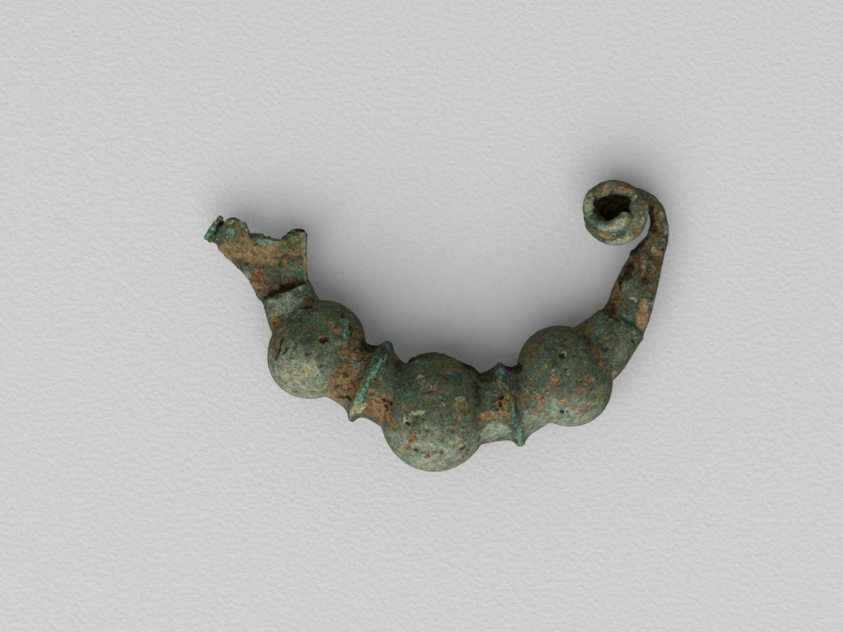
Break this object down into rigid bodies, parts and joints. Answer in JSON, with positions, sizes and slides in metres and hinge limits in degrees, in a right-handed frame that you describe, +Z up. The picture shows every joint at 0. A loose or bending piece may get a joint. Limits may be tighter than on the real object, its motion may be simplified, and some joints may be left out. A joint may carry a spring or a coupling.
{
  "type": "fibula brooch",
  "caption": "Bronze bow brooch lying on its side: beaded bow with thin discs between the beads, broken catch-plate, tapering leg and spring coil, its pin lost.",
  "frame": {"origin": "bottom centre of the bounding box, on the surface that the brooch lies on", "axes": "+X along the bow from the catch-plate's end to the coil's end, +Y from the beads towards the catch-plate and the coil, +Z up from the surface it lies on"},
  "size_m": [0.0704, 0.0438, 0.0175],
  "materials": {
    "patinated_bronze": "bronze under a matt grey-green patina with brown and turquoise patches"
  },
  "bodies": {
    "root": {"fibula_brooch": "patinated_bronze"}
  },
  "joints": []
}
